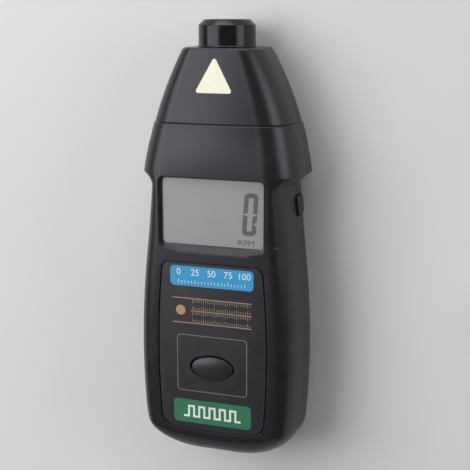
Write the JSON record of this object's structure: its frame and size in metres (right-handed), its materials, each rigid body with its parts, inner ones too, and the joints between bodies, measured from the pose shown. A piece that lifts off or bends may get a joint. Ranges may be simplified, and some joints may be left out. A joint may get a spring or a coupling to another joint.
{
  "type": "laser tachometer",
  "caption": "Hand-held laser tachometer: black two-shell housing with a tapered head, round optical nozzle, display window, oval key, side key and sliding battery door.",
  "frame": {"origin": "middle of the part's box in plan, on the surface that its back lies on", "axes": "+X right, +Y along the optical axis out of the nozzle, +Z out of the display face"},
  "size_m": [0.0712, 0.19, 0.0379],
  "materials": {
    "housing": "fine moulded texture",
    "keys": "fine moulded texture",
    "nozzle": "polished",
    "lens_glass": "clear",
    "window": "clear",
    "optics_black": "matt",
    "brass": "turned",
    "sensor": "moulded",
    "board": "solder mask",
    "ribbon": "film",
    "chip": "moulded",
    "can_metal": "drawn",
    "capacitor_sleeve": "shrunk sleeve",
    "display": "satin display film",
    "display_frame": "moulded",
    "contact_rubber": "layered",
    "switch": "moulded",
    "stem": "moulded",
    "battery_case": "plain can",
    "snap": "soft vinyl",
    "lead": "insulated",
    "screw_steel": "plated",
    "label_film": "satin film",
    "mark_film": "satin film"
  },
  "bodies": {
    "housing": {"front_shell": "housing", "rear_shell": "housing", "nozzle": "nozzle", "lens": "lens_glass", "lens_retainer": "optics_black", "beam_divider": "optics_black", "laser_module": "brass", "photo_sensor": "sensor", "sensor_board": "board", "sensor_ribbon": "ribbon", "main_board": "board", "controller_chip": "chip", "quartz_crystal": "can_metal", "capacitor": "capacitor_sleeve", "lcd_window": "window", "lcd_cell": "display", "lcd_frame": "display_frame", "contact_strips": "contact_rubber", "memory_switch": "switch", "test_switch": "switch", "battery": "battery_case", "battery_snap": "snap", "battery_leads": "lead", "case_screws": "screw_steel", "board_screws": "screw_steel", "face_label": "label_film", "beam_mark": "mark_film"},
    "memory_key": {"memory_button": "keys", "memory_switch_stem": "stem"},
    "test_key": {"test_button": "keys", "test_switch_stem": "stem"},
    "battery_cover": {"battery_door": "housing"}
  },
  "joints": [
    {"name": "memory_press", "type": "slide", "parent": "housing", "child": "memory_key", "axis": [0, 0, -1], "range_m": [0, 0.0007], "stiffness_N_per_m": 300, "springref_m": -0.002},
    {"name": "test_press", "type": "slide", "parent": "housing", "child": "test_key", "axis": [-1, 0, 0], "range_m": [0, 0.0009], "stiffness_N_per_m": 300, "springref_m": -0.002},
    {"name": "door_slide", "type": "slide", "parent": "housing", "child": "battery_cover", "axis": [0, -1, 0], "range_m": [0, 0.066]}
  ]
}
